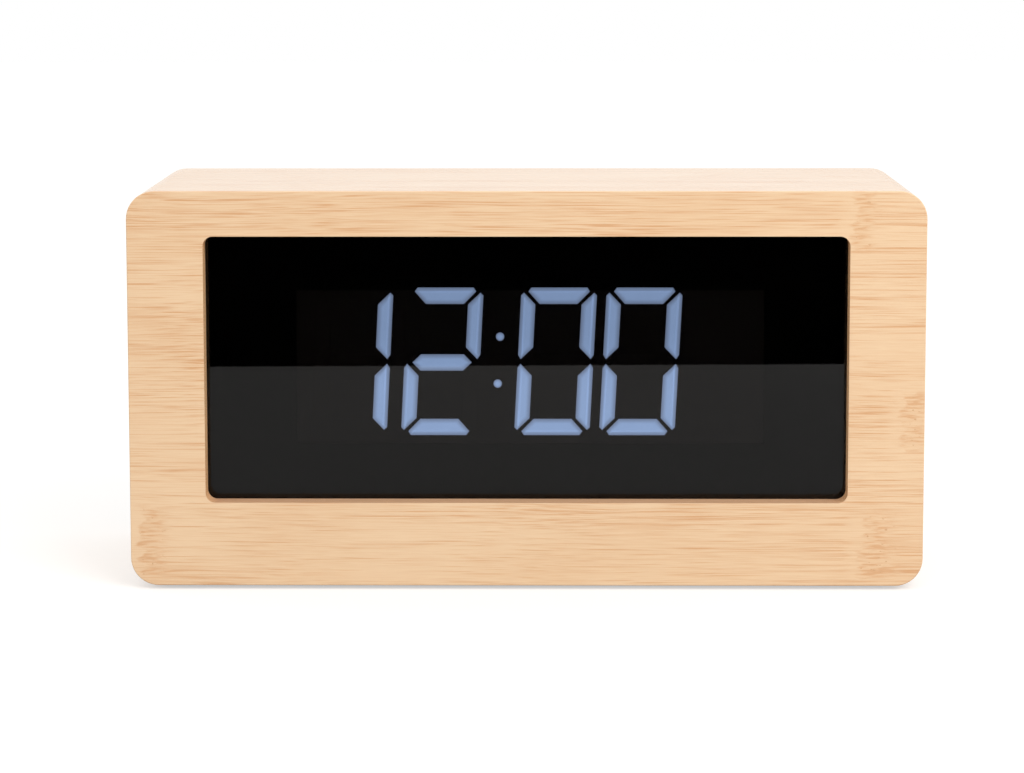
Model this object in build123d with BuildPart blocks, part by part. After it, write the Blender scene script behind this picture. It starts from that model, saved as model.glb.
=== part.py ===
"""Wooden desk clock: a mitred bamboo case round a four-digit LED display, with a moulded rear cover.

Millimetres. The origin is under the middle of the case, on the plane the feet stand on.
+X is to the viewer's right, +Y points to the rear and +Z is up. The display shows 12:00.
"""

import math
import os

from build123d import *

# Case
case_width = 200.0
case_height = 100.0
case_depth = 75.0
case_corner_radius = 7.0
board_thickness = 7.0
panel_thickness = 6.0
wood_edge_bevel = 0.2

# Window in the front panel, by the rails and stiles of wood left round it
stile_width = 19.1
top_rail_height = 11.35
bottom_rail_height = 21.2
window_corner_radius = 2.5

# Feet
foot_radius = 6.0
foot_height = 1.0
foot_inset = 16.0

# Lens and the tape that holds it
lens_thickness = 2.0
lens_overlap = 3.5
tape_thickness = 0.5
tape_setback = 1.0

# Display frame behind the lens
frame_thickness = 2.0
frame_rim_height = 0.5
frame_rim_width = 2.0
frame_ear_reach = 3.0
frame_ear_gap = 0.5
frame_ear_end_margin = 8.0

# Seven-segment display
module_depth = 8.0
module_fit = 0.2
module_edge = 2.0
module_left_margin = 3.4
module_right_margin = 20.5
digit_width = 19.25
digit_height = 37.8
digit_rise = 1.08
digit_slant = 2.95
bar_height = 4.25
stroke_width = 3.82
mitre_gap = 0.55
bar_end_gap = 0.77
middle_bar_gap = 1.3
middle_bar_drop = 0.25
tip_clip = 0.72
colon_side_offset = -7.0
colon_rise = 0.35
colon_pitch = 12.0
colon_dot_radius = 1.1
hour_pitch = 22.8
minute_pitch = 21.6
colon_to_digit = 14.37
light_guide_depth = 5.5
light_guide_fit = 0.05
light_guide_ledge = 0.5
led_length = 2.8
led_width = 1.4
led_height = 0.8

# Circuit boards
pcb_thickness = 1.6
pcb_corner_radius = 1.5
display_board_side_margin = 9.5
display_board_edge_margin = 4.0
main_board_end_gap = 6.0
main_board_height = 20.0
main_board_standoff = 7.5
boss_size = 5.2
boss_inset = 4.0

# Small self-tapping screws
screw_shank_radius = 1.1
screw_shank_sides = 8
screw_head_radius = 2.1
hex_head_sides = 6
screw_head_height = 1.5
screw_fit = 0.05
screw_bite = 4.0
screw_hole_clearance = 0.25
screw_recess_length = 2.4
screw_recess_width = 0.7
screw_recess_depth = 0.8

# Corner blocks glued inside the case
block_size = 12.0
block_length = 20.0
cover_screw_bite = 12.0

# Rear cover
cover_thickness = 2.5
cover_inset = 1.0
cover_rebate = 3.0
cover_fit = 0.3
cover_corner_radius = 1.5
rib_height = 3.0
rib_thickness = 1.4
rib_gap = 0.4
rib_end_gap = 3.0
head_sink = 1.7
head_sink_clearance = 0.3

# Control row on the rear cover, and how the free height is shared below, between and above bay and row
bay_and_controls_shares = (0.35, 0.35, 0.30)
button_uses = ("mode", "alarm", "up", "down", "light")
button_pitch = 14.0
button_length = 10.0
button_width = 5.0
button_corner_cut = 1.3
button_fit = 0.25
button_stand = 0.7
button_edge_bevel = 0.4
button_travel = 0.7
button_flange = 1.0
button_flange_thickness = 1.0
button_rest_gap = 0.1
button_post_size = 3.0
strip_margin = 3.5
strip_depth = 0.8
switch_size = 6.0
switch_height = 3.5
plunger_size = 2.6
plunger_fit = 0.1
plunger_seat = 0.2
plunger_stand = 1.5

# Buzzer and its sound slits
buzzer_radius = 6.0
buzzer_height = 5.5
buzzer_port_radius = 1.5
buzzer_port_depth = 1.0
buzzer_end_margin = 16.0
sound_slit_width = 0.9
sound_slit_pitch = 2.0
sound_slit_count = 5
sound_rim = 1.0

# Power socket
socket_width = 8.94
socket_height = 3.26
socket_wall = 0.3
socket_sink = 0.5
socket_depth = 6.5
socket_end_margin = 16.0
socket_fit = 0.3
tongue_width = 6.7
tongue_thickness = 0.7
tongue_length = 4.6
plug_recess_margin = 1.6
plug_recess_depth = 0.9

# Battery bay and cells
cell_radius = 5.25
cell_length = 43.5
cell_nub_radius = 1.9
cell_nub_length = 1.0
cell_count = 3
cell_gap = 0.7
bay_wall = 1.5
bay_end_room = 3.0
bay_side_room = 0.6
bay_door_room = 0.7
contact_thickness = 0.4
contact_width = 7.0
nub_contact_shares = (0.33, 0.25)
flat_contact_shares = (0.42, 0.12)

# Battery door, hinged on two stub pins along its lower edge
door_thickness = 2.0
door_ledge = 3.0
door_fit = 0.3
door_barrel_radius = 1.4
door_corner_radius = 1.5
hinge_pin_radius = 0.7
hinge_pin_length = 1.4
hinge_pin_fit = 0.08
latch_width = 10.0
latch_length = 2.4
latch_thickness = 1.0
latch_fit = 0.4
thumb_notch_radius = 6.0
thumb_notch_depth = 1.2

# Board components
chip_length = 18.0
chip_width = 7.6
chip_height = 2.3
crystal_length = 10.0
crystal_width = 3.8
crystal_height = 3.4
capacitor_radius = 3.15
capacitor_height = 7.0
connector_length = 14.0
connector_width = 5.0
connector_height = 6.0
component_pitch = 20.0
connector_side_offset = 30.0
ribbon_width = 11.0
ribbon_thickness = 0.8
ribbon_bend_radius = 5.0

# Depths, from the front face at the least y to the rear of the case
front_y = -case_depth / 2
rear_y = case_depth / 2
panel_back_y = front_y + panel_thickness
tape_back_y = panel_back_y + tape_thickness
lens_back_y = tape_back_y + lens_thickness
frame_front_y = lens_back_y + frame_rim_height
frame_back_y = frame_front_y + frame_thickness
module_back_y = frame_front_y + module_depth
display_board_back_y = module_back_y + pcb_thickness
cover_outer_y = rear_y - cover_inset
cover_inner_y = cover_outer_y - cover_thickness
board_rear_y = cover_inner_y - main_board_standoff
board_front_y = board_rear_y - pcb_thickness

# Heights and the window
base_z = foot_height
case_mid_z = base_z + case_height / 2
window_width = case_width - 2 * stile_width
window_height = case_height - top_rail_height - bottom_rail_height
window_mid_z = base_z + bottom_rail_height + window_height / 2
display_z = window_mid_z + digit_rise

# Widths and heights that several pieces share
cavity_width = case_width - 2 * board_thickness
cavity_height = case_height - 2 * board_thickness
lens_width = window_width + 2 * lens_overlap
lens_height = window_height + 2 * lens_overlap
cover_width = cavity_width + 2 * (cover_rebate - cover_fit)
cover_height = cavity_height + 2 * (cover_rebate - cover_fit)
screw_pilot_radius = screw_shank_radius + screw_fit
screw_clear_radius = screw_shank_radius + screw_hole_clearance
main_board_width = cavity_width - 2 * (block_size + main_board_end_gap)

# The display, from its digits out to its board
lean = math.tan(math.radians(digit_slant))
minute_tens_x = colon_side_offset + colon_to_digit
hour_units_x = colon_side_offset - colon_to_digit
digits = {
    "hour_tens": (hour_units_x - hour_pitch, "bc"),
    "hour_units": (hour_units_x, "abdeg"),
    "minute_tens": (minute_tens_x, "abcdef"),
    "minute_units": (minute_tens_x + minute_pitch, "abcdef"),
}
digit_reach = (digit_width + digit_height * lean) / 2
module_left_x = digits["hour_tens"][0] - digit_reach - module_left_margin
module_right_x = digits["minute_units"][0] + digit_reach + module_right_margin
module_width = module_right_x - module_left_x
module_height = digit_height + 2 * module_edge
module_place = ((module_left_x + module_right_x) / 2, display_z)
display_board_width = module_width + 2 * display_board_side_margin
display_board_height = module_height + 2 * display_board_edge_margin

# Battery bay and control row, stacked in the height of the rear cover
bay_length = cell_length + cell_nub_length + 2 * bay_end_room
bay_height = cell_count * 2 * cell_radius + (cell_count - 1) * cell_gap + 2 * bay_side_room
bay_depth = 2 * cell_radius + bay_door_room
door_opening_width = bay_length + 2 * door_ledge
door_opening_height = bay_height + 2 * door_ledge
shelf_height = door_opening_height + 2 * bay_wall
free_height = cavity_height - shelf_height - main_board_height
below_share, between_share, above_share = bay_and_controls_shares
bay_mid_z = base_z + board_thickness + free_height * below_share + shelf_height / 2
controls_z = bay_mid_z + shelf_height / 2 + free_height * between_share + main_board_height / 2

pieces = {}


def upright(y):
    """Plane at depth y whose sketches read x and z as from the front, and extrude towards the front."""
    return Plane.XZ.offset(-y)


def corner_places(width, height, mid_z):
    """The four corners of a rectangle, as x and z."""
    return [(sx * width / 2, mid_z + sz * height / 2) for sx in (-1, 1) for sz in (-1, 1)]


def cut_corner_sketch(places, length, width, grown):
    """Rectangles with their corners cut off, each grown on all sides from the given size."""
    with BuildSketch(mode=Mode.PRIVATE) as outline:
        with Locations(places):
            Rectangle(length + 2 * grown, width + 2 * grown)
        chamfer(outline.vertices(), button_corner_cut + grown * (2 - math.sqrt(2)))
    return outline.sketch


# Front panel: one board of bamboo with the window cut through it
ear_x = lens_width / 2 + frame_ear_gap + frame_ear_reach
ear_places = corner_places(2 * ear_x, lens_height - 2 * frame_ear_end_margin, window_mid_z)

with BuildPart() as front_panel:
    with BuildSketch(upright(panel_back_y)):
        with Locations((0, case_mid_z)):
            RectangleRounded(case_width, case_height, case_corner_radius)
        with Locations((0, window_mid_z)):
            RectangleRounded(window_width, window_height, window_corner_radius, mode=Mode.SUBTRACT)
    extrude(amount=panel_thickness)
    chamfer(front_panel.faces().sort_by(Axis.Y)[0].outer_wire().edges(), wood_edge_bevel)
    with BuildSketch(upright(panel_back_y)):
        with Locations(ear_places):
            RegularPolygon(screw_pilot_radius, screw_shank_sides)
    extrude(amount=screw_bite, mode=Mode.SUBTRACT)
pieces["front_panel"] = front_panel


# Case boards: a rounded ring cut into four at mitred corners
def case_board(long_side, turns):
    """One board of the case: the ring's part on the side that is turned to, a quarter turn at a time."""
    short_side = long_side - 2 * board_thickness
    reach = (case_width + case_height - long_side) / 2
    with BuildPart() as board:
        with BuildSketch(upright(rear_y)):
            with Locations((0, case_mid_z)):
                RectangleRounded(case_width, case_height, case_corner_radius)
                Rectangle(cavity_width, cavity_height, mode=Mode.SUBTRACT)
        extrude(amount=rear_y - panel_back_y)
        chamfer(board.faces().sort_by(Axis.Y)[-1].outer_wire().edges(), wood_edge_bevel)
        with BuildSketch(upright(rear_y)):
            with Locations((0, case_mid_z)):
                Rectangle(cavity_width + 2 * cover_rebate, cavity_height + 2 * cover_rebate)
        extrude(amount=cover_inset + cover_thickness, mode=Mode.SUBTRACT)
        with BuildSketch(upright(rear_y)):
            with Locations(Location((0, case_mid_z, 0), (0, 0, -90 * turns))):
                Polygon(
                    (-long_side / 2, reach),
                    (-short_side / 2, reach - board_thickness),
                    (short_side / 2, reach - board_thickness),
                    (long_side / 2, reach),
                    align=None,
                )
        extrude(amount=rear_y - panel_back_y, mode=Mode.INTERSECT)
    return board


for turns, name in enumerate(("top_board", "right_board", "bottom_board", "left_board")):
    pieces[name] = case_board((case_width, case_height)[turns % 2], turns)

# Corner blocks that take the rear cover's screws
block_places = corner_places(cavity_width - block_size, cavity_height - block_size, case_mid_z)

with BuildPart() as corner_blocks:
    with BuildSketch(upright(cover_inner_y)):
        with Locations(block_places):
            Rectangle(block_size, block_size)
    extrude(amount=block_length)
    with BuildSketch(upright(cover_inner_y)):
        with Locations(block_places):
            RegularPolygon(screw_pilot_radius, screw_shank_sides)
    extrude(amount=cover_screw_bite, mode=Mode.SUBTRACT)
pieces["corner_blocks"] = corner_blocks

# Rubber feet under the bottom board
with BuildPart() as rubber_feet:
    with BuildSketch(Plane.XY):
        with GridLocations(case_width - 2 * foot_inset, case_depth - 2 * foot_inset, 2, 2):
            Circle(foot_radius)
    extrude(amount=foot_height)
pieces["rubber_feet"] = rubber_feet

# Lens of smoked acrylic, and the ring of black tape between it and the panel
with BuildPart() as lens:
    with BuildSketch(upright(lens_back_y)):
        with Locations((0, window_mid_z)):
            Rectangle(lens_width, lens_height)
    extrude(amount=lens_thickness)
pieces["lens"] = lens

with BuildPart() as lens_tape:
    with BuildSketch(upright(tape_back_y)):
        with Locations((0, window_mid_z)):
            Rectangle(lens_width, lens_height)
            Rectangle(
                window_width + 2 * tape_setback, window_height + 2 * tape_setback, mode=Mode.SUBTRACT
            )
    extrude(amount=tape_thickness)
pieces["lens_tape"] = lens_tape

# Display frame: a moulded tray that clamps the lens and carries the display
display_boss_places = [
    (module_place[0] + x, z)
    for x, z in corner_places(
        display_board_width - 2 * boss_inset, display_board_height - 2 * boss_inset, display_z
    )
]

with BuildPart() as display_frame:
    with BuildSketch(upright(frame_back_y)):
        with Locations((0, window_mid_z)):
            Rectangle(lens_width, lens_height)
        with Locations(module_place):
            Rectangle(
                module_width + 2 * module_fit, module_height + 2 * module_fit, mode=Mode.SUBTRACT
            )
    extrude(amount=frame_thickness)
    with BuildSketch(upright(frame_front_y)):
        with Locations((0, window_mid_z)):
            Rectangle(lens_width, lens_height)
            Rectangle(
                lens_width - 2 * frame_rim_width, lens_height - 2 * frame_rim_width, mode=Mode.SUBTRACT
            )
    extrude(amount=frame_rim_height)
    # Ears reach out past the lens, and their posts stand on the back of the panel
    with BuildSketch(upright(frame_back_y)):
        for x, z in ear_places:
            inner_x = math.copysign(lens_width / 2 - frame_rim_width, x)
            outer_x = math.copysign(ear_x + frame_ear_reach, x)
            with Locations(((outer_x + inner_x) / 2, z)):
                Rectangle(abs(outer_x - inner_x), 2 * frame_ear_reach)
    extrude(amount=frame_thickness)
    with BuildSketch(upright(frame_back_y)):
        with Locations(ear_places):
            Rectangle(2 * frame_ear_reach, 2 * frame_ear_reach)
    extrude(amount=frame_back_y - panel_back_y)
    with BuildSketch(upright(frame_back_y)):
        with Locations(display_boss_places):
            Rectangle(boss_size, boss_size)
    extrude(amount=frame_back_y - module_back_y)
    with BuildSketch(upright(frame_back_y)):
        with Locations(ear_places):
            RegularPolygon(screw_clear_radius, screw_shank_sides)
    extrude(amount=frame_back_y - panel_back_y, mode=Mode.SUBTRACT)
    with BuildSketch(upright(module_back_y)):
        with Locations(display_boss_places):
            RegularPolygon(screw_pilot_radius, screw_shank_sides)
    extrude(amount=screw_bite, mode=Mode.SUBTRACT)
pieces["display_frame"] = display_frame


# Seven-segment display: each bar or stroke is a hexagon with mitred, clipped ends
def segment_points(letter):
    """Outline of one segment about the digit's centre, leaned over by the slant."""
    half_width, half_height = digit_width / 2, digit_height / 2
    bar_tip = bar_height / 4
    stroke_tip = stroke_width / 5
    if letter in "ad":
        up = 1 if letter == "a" else -1
        tip = half_width - bar_tip - bar_end_gap
        inner = half_width - bar_height - mitre_gap
        points = [
            (-tip, up * (half_height - bar_tip)),
            (-tip + tip_clip, up * half_height),
            (tip - tip_clip, up * half_height),
            (tip, up * (half_height - bar_tip)),
            (inner, up * (half_height - bar_height)),
            (-inner, up * (half_height - bar_height)),
        ]
    elif letter == "g":
        tip = half_width - stroke_tip - middle_bar_gap
        inner = tip - bar_height / 2
        points = [
            (-tip, -middle_bar_drop),
            (-inner, bar_height / 2 - middle_bar_drop),
            (inner, bar_height / 2 - middle_bar_drop),
            (tip, -middle_bar_drop),
            (inner, -bar_height / 2 - middle_bar_drop),
            (-inner, -bar_height / 2 - middle_bar_drop),
        ]
    else:
        side = 1 if letter in "bc" else -1
        up = 1 if letter in "bf" else -1
        outer = half_width
        tip = half_width - stroke_tip
        inner = half_width - stroke_width
        points = [
            (side * tip, up * (half_height - stroke_tip - mitre_gap)),
            (side * outer, up * (half_height - stroke_tip - mitre_gap - tip_clip)),
            (side * outer, up * (mitre_gap + stroke_tip + tip_clip / 2)),
            (side * tip, up * mitre_gap),
            (side * inner, up * (mitre_gap + stroke_width - stroke_tip)),
            (side * inner, up * (half_height - stroke_width - mitre_gap)),
        ]
    return [(x + z * lean, z) for x, z in points]


def segment_middle(letter):
    """Where one segment's lamp sits: the mean of its outline's points."""
    points = segment_points(letter)
    return tuple(sum(values) / len(points) for values in zip(*points))


colon_heights = (colon_rise + colon_pitch / 2, colon_rise - colon_pitch / 2)
colon_places = [(colon_side_offset + z * lean, display_z + z) for z in colon_heights]


def segment_sketch(x, letters, inset):
    """The named segments of the digit at x, each drawn in from its outline all round by the inset."""
    with BuildSketch(mode=Mode.PRIVATE) as outline:
        with Locations((x, display_z)):
            for letter in letters:
                Polygon(*segment_points(letter), align=None)
        if inset:
            offset(amount=-inset, kind=Kind.INTERSECTION, mode=Mode.REPLACE)
    return outline.sketch


# Reflector: a black block with a stepped light well for each segment and dot
guide_back_y = frame_front_y + light_guide_depth

with BuildPart() as segment_reflector:
    with BuildSketch(upright(module_back_y)):
        with Locations(module_place):
            Rectangle(module_width, module_height)
    extrude(amount=module_depth)
    for well_back_y, inset in ((guide_back_y, 0), (module_back_y, light_guide_ledge)):
        with BuildSketch(upright(well_back_y)):
            for x, lit in digits.values():
                add(segment_sketch(x, "abcdefg", inset))
            with Locations(colon_places):
                Circle(colon_dot_radius - inset)
        extrude(amount=well_back_y - frame_front_y, mode=Mode.SUBTRACT)
pieces["segment_reflector"] = segment_reflector


# Light guides: milky fillings that sit on the steps, kept apart by whether they glow at 12:00
def light_guides(x, letters):
    with BuildPart() as guides:
        with BuildSketch(upright(guide_back_y)):
            add(segment_sketch(x, letters, light_guide_fit))
        extrude(amount=light_guide_depth)
    return guides


for place, (x, lit) in digits.items():
    pieces[place + "_lit_segments"] = light_guides(x, lit)
    pieces[place + "_dark_segments"] = light_guides(x, [c for c in "abcdefg" if c not in lit])

with BuildPart() as colon_dots:
    with BuildSketch(upright(guide_back_y)):
        with Locations(colon_places):
            Circle(colon_dot_radius - light_guide_fit)
    extrude(amount=light_guide_depth)
pieces["colon_dots"] = colon_dots


# Circuit boards
def circuit_board(width, height, place, back_y, hole_places):
    with BuildPart() as board:
        with BuildSketch(upright(back_y)):
            with Locations(place):
                RectangleRounded(width, height, pcb_corner_radius)
            with Locations(hole_places):
                RegularPolygon(screw_clear_radius, screw_shank_sides, mode=Mode.SUBTRACT)
        extrude(amount=pcb_thickness)
    return board


pieces["display_board"] = circuit_board(
    display_board_width,
    display_board_height,
    module_place,
    display_board_back_y,
    display_boss_places,
)
main_boss_places = corner_places(
    main_board_width - 2 * boss_inset, main_board_height - 2 * boss_inset, controls_z
)
pieces["main_board"] = circuit_board(
    main_board_width, main_board_height, (0, controls_z), board_rear_y, main_boss_places
)

# Lamps: one chip on the display board under each segment and dot
with BuildPart() as segment_leds:
    with BuildSketch(upright(module_back_y)):
        for x, lit in digits.values():
            for letter in "abcdefg":
                lamp_x, lamp_z = segment_middle(letter)
                turn = 0 if letter in "adg" else 90 - digit_slant
                with Locations(Location((x + lamp_x, display_z + lamp_z, 0), (0, 0, turn))):
                    Rectangle(led_length, led_width)
        with Locations(colon_places):
            Rectangle(led_width / 2, led_width / 2)
    extrude(amount=led_height)
pieces["segment_leds"] = segment_leds


# Screws
def screws(places, seat_y, length, heading, pan_head=False):
    """Screws whose heads sit at seat_y and whose shanks run forward (1) or to the rear (-1).

    Inside the case the heads are hexagons; a pan head is round, with a cross recess.
    """
    with BuildPart() as group:
        with BuildSketch(upright(seat_y)):
            with Locations(places):
                RegularPolygon(screw_shank_radius, screw_shank_sides)
        extrude(amount=heading * length)
        with BuildSketch(upright(seat_y)):
            with Locations(places):
                if pan_head:
                    Circle(screw_head_radius)
                else:
                    RegularPolygon(screw_head_radius, hex_head_sides)
        extrude(amount=-heading * screw_head_height)
        if pan_head:
            with BuildSketch(upright(seat_y + heading * screw_head_height)):
                with Locations(places):
                    Rectangle(screw_recess_length, screw_recess_width)
                    Rectangle(screw_recess_width, screw_recess_length)
            extrude(amount=heading * screw_recess_depth, mode=Mode.SUBTRACT)
    return group


frame_screw_length = frame_back_y - panel_back_y + screw_bite - screw_fit
pieces["frame_screws"] = screws(ear_places, frame_back_y, frame_screw_length, 1)
board_screw_length = pcb_thickness + screw_bite - screw_fit
pieces["display_board_screws"] = screws(
    display_boss_places, display_board_back_y, board_screw_length, 1
)
pieces["main_board_screws"] = screws(main_boss_places, board_front_y, board_screw_length, -1)
cover_screw_seat_y = cover_outer_y - head_sink
cover_screw_length = cover_screw_seat_y - cover_inner_y + cover_screw_bite - screw_fit
pieces["cover_screws"] = screws(
    block_places, cover_screw_seat_y, cover_screw_length, 1, pan_head=True
)

# Places on the rear cover that several pieces share
bay_rim_y = cover_outer_y - door_thickness
bay_floor_y = bay_rim_y - bay_depth
opening_bottom_z = bay_mid_z - door_opening_height / 2
opening_top_z = bay_mid_z + door_opening_height / 2
hinge_y = cover_outer_y - door_barrel_radius
hinge_z = opening_bottom_z + door_fit + door_barrel_radius
hinge_groove_depth = 2 * door_barrel_radius + door_fit
shelf_back_y = cover_outer_y - hinge_groove_depth - bay_wall
button_run = (len(button_uses) - 1) * button_pitch
button_places = [(i * button_pitch - button_run / 2, controls_z) for i in range(len(button_uses))]
buzzer_place = (buzzer_end_margin - main_board_width / 2, controls_z)
socket_place = (main_board_width / 2 - socket_end_margin, controls_z)
strip_length = button_run + button_length

# Rear cover: plate, locating ribs, posts for the main board, control openings and battery bay
with BuildPart() as rear_cover:
    with BuildSketch(upright(cover_outer_y)):
        with Locations((0, case_mid_z)):
            RectangleRounded(cover_width, cover_height, cover_corner_radius)
    extrude(amount=cover_thickness)
    rib_run_x = cavity_width - 2 * (block_size + rib_end_gap)
    rib_run_z = cavity_height - 2 * (block_size + rib_end_gap)
    rib_out = rib_gap + rib_thickness / 2
    with BuildSketch(upright(cover_inner_y)):
        with Locations((0, case_mid_z)):
            with GridLocations(0, cavity_height - 2 * rib_out, 1, 2):
                Rectangle(rib_run_x, rib_thickness)
            with GridLocations(cavity_width - 2 * rib_out, 0, 2, 1):
                Rectangle(rib_thickness, rib_run_z)
    extrude(amount=rib_height)
    with BuildSketch(upright(cover_inner_y)):
        with Locations(main_boss_places):
            Rectangle(boss_size, boss_size)
    extrude(amount=main_board_standoff)
    # The bay hangs from the plate, below a shelf all round that the door closes on
    with BuildSketch(upright(cover_inner_y)):
        with Locations((0, bay_mid_z)):
            Rectangle(door_opening_width + 2 * bay_wall, shelf_height)
    extrude(amount=cover_inner_y - shelf_back_y)
    with BuildSketch(upright(shelf_back_y)):
        with Locations((0, bay_mid_z)):
            Rectangle(bay_length + 2 * bay_wall, bay_height + 2 * bay_wall)
    extrude(amount=shelf_back_y - bay_floor_y + bay_wall)
    with BuildSketch(upright(cover_outer_y)):
        with Locations((0, bay_mid_z)):
            RectangleRounded(door_opening_width, door_opening_height, door_corner_radius)
    extrude(amount=door_thickness, mode=Mode.SUBTRACT)
    with BuildSketch(upright(bay_rim_y)):
        with Locations((0, bay_mid_z)):
            Rectangle(bay_length, bay_height)
    extrude(amount=bay_depth, mode=Mode.SUBTRACT)
    # Groove and blind holes for the door's hinge
    with BuildSketch(upright(cover_outer_y)):
        with Locations((0, opening_bottom_z + door_barrel_radius + door_fit)):
            Rectangle(door_opening_width, 2 * (door_barrel_radius + door_fit))
    extrude(amount=hinge_groove_depth, mode=Mode.SUBTRACT)
    hinge_span = door_opening_width + 2 * hinge_pin_length
    with BuildSketch(Plane.YZ.offset(-hinge_span / 2)):
        with Locations((hinge_y, hinge_z)):
            Circle(hinge_pin_radius + hinge_pin_fit)
    extrude(amount=hinge_span, mode=Mode.SUBTRACT)
    # Notch for the latch, and a thumb hollow above it
    with BuildSketch(upright(cover_outer_y)):
        with Locations((0, opening_top_z)):
            Rectangle(latch_width + 2 * latch_fit, 2 * (latch_length + latch_fit))
    extrude(amount=door_thickness, mode=Mode.SUBTRACT)
    with BuildSketch(upright(cover_outer_y)):
        with Locations((0, opening_top_z + latch_length + latch_fit)):
            Circle(thumb_notch_radius)
    extrude(amount=thumb_notch_depth, mode=Mode.SUBTRACT)
    # Control strip, button holes, sound slits and socket opening
    with BuildSketch(upright(cover_outer_y)):
        add(cut_corner_sketch([(0, controls_z)], strip_length, button_width, strip_margin))
    extrude(amount=strip_depth, mode=Mode.SUBTRACT)
    with BuildSketch(upright(cover_outer_y)):
        add(cut_corner_sketch(button_places, button_length, button_width, button_fit))
        for i in range(sound_slit_count):
            rise = (i - (sound_slit_count - 1) / 2) * sound_slit_pitch
            with Locations((buzzer_place[0], buzzer_place[1] + rise)):
                Rectangle(2 * math.sqrt((buzzer_radius - sound_rim) ** 2 - rise**2), sound_slit_width)
        with Locations(socket_place):
            SlotOverall(socket_width + 2 * socket_fit, socket_height + 2 * socket_fit)
    extrude(amount=cover_thickness, mode=Mode.SUBTRACT)
    with BuildSketch(upright(cover_outer_y)):
        with Locations(socket_place):
            SlotOverall(
                socket_width + 2 * plug_recess_margin, socket_height + 2 * plug_recess_margin
            )
    extrude(amount=plug_recess_depth, mode=Mode.SUBTRACT)
    # Screw holes
    with BuildSketch(upright(cover_outer_y)):
        with Locations(block_places):
            RegularPolygon(screw_clear_radius, screw_shank_sides)
    extrude(amount=cover_thickness, mode=Mode.SUBTRACT)
    with BuildSketch(upright(cover_outer_y)):
        with Locations(block_places):
            Circle(screw_head_radius + head_sink_clearance)
    extrude(amount=head_sink, mode=Mode.SUBTRACT)
    with BuildSketch(upright(board_rear_y)):
        with Locations(main_boss_places):
            RegularPolygon(screw_pilot_radius, screw_shank_sides)
    extrude(amount=-screw_bite, mode=Mode.SUBTRACT)
pieces["rear_cover"] = rear_cover

# Battery door: a plate that ends in a rolled edge with a stub pin at each end
door_width = door_opening_width - 2 * door_fit
door_top_z = opening_top_z - door_fit

with BuildPart() as battery_door:
    with BuildSketch(upright(cover_outer_y)) as door_plate:
        with Locations((0, (hinge_z + door_top_z) / 2)):
            Rectangle(door_width, door_top_z - hinge_z)
        fillet(door_plate.vertices().group_by(Axis.Y)[-1], door_corner_radius)
    extrude(amount=door_thickness)
    with BuildSketch(Plane.YZ.offset(-door_width / 2)):
        with Locations((hinge_y, hinge_z)):
            Circle(door_barrel_radius)
    extrude(amount=door_width)
    pin_span = door_opening_width + 2 * (hinge_pin_length - hinge_pin_fit)
    with BuildSketch(Plane.YZ.offset(-pin_span / 2)):
        with Locations((hinge_y, hinge_z)):
            Circle(hinge_pin_radius)
    extrude(amount=pin_span)
    with BuildSketch(upright(cover_outer_y)):
        with Locations((0, door_top_z)):
            Rectangle(latch_width, 2 * latch_length)
    extrude(amount=latch_thickness)
pieces["battery_door"] = battery_door

# Cells lie side by side, turned end for end, and a contact stands at each end
cell_y = bay_floor_y + cell_radius
cell_step = 2 * cell_radius + cell_gap
cell_rows = [
    (bay_mid_z + (i - (cell_count - 1) / 2) * cell_step, 1 if i % 2 else -1)
    for i in range(cell_count)
]

with BuildPart() as cells:
    for z, facing in cell_rows:
        base_x = facing * (-cell_length - cell_nub_length) / 2
        with BuildSketch(Plane.YZ.offset(base_x)):
            with Locations((cell_y, z)):
                Circle(cell_radius)
        extrude(amount=facing * cell_length)
        with BuildSketch(Plane.YZ.offset(base_x)):
            with Locations((cell_y, z)):
                Circle(cell_nub_radius)
        extrude(amount=facing * (cell_length + cell_nub_length))
pieces["cells"] = cells

# Sheet contacts: folded strips with feet on the bay's wall and a face that meets the cell
step_near = contact_thickness / 2
step_far = bay_end_room - contact_thickness / 2


def sheet_contacts(end, shares):
    """The contacts at the nub end (1) or the flat end (-1); the shares say where feet end and face begins."""
    foot_share, face_share = shares
    with BuildPart() as contacts:
        for z, facing in cell_rows:
            wall_x = end * facing * bay_length / 2
            near_x = wall_x - end * facing * step_near
            far_x = wall_x - end * facing * step_far
            with BuildSketch(Plane.XY.offset(z - contact_width / 2)):
                with BuildLine():
                    Polyline(
                        (near_x, cell_y - contact_width / 2),
                        (near_x, cell_y - contact_width * foot_share),
                        (far_x, cell_y - contact_width * face_share),
                        (far_x, cell_y + contact_width * face_share),
                        (near_x, cell_y + contact_width * foot_share),
                        (near_x, cell_y + contact_width / 2),
                    )
                trace(line_width=contact_thickness)
            extrude(amount=contact_width)
    return contacts


pieces["positive_contacts"] = sheet_contacts(1, nub_contact_shares)
pieces["negative_contacts"] = sheet_contacts(-1, flat_contact_shares)

# Push buttons: a cap through the cover, a flange that keeps it in, and a post on its switch
flange_back_y = cover_inner_y - button_rest_gap
flange_front_y = flange_back_y - button_flange_thickness
switch_back_y = board_rear_y + switch_height
plunger_back_y = switch_back_y + plunger_stand
plunger_front_y = switch_back_y - plunger_seat
plunger_bore = plunger_seat + button_travel + button_fit

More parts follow.
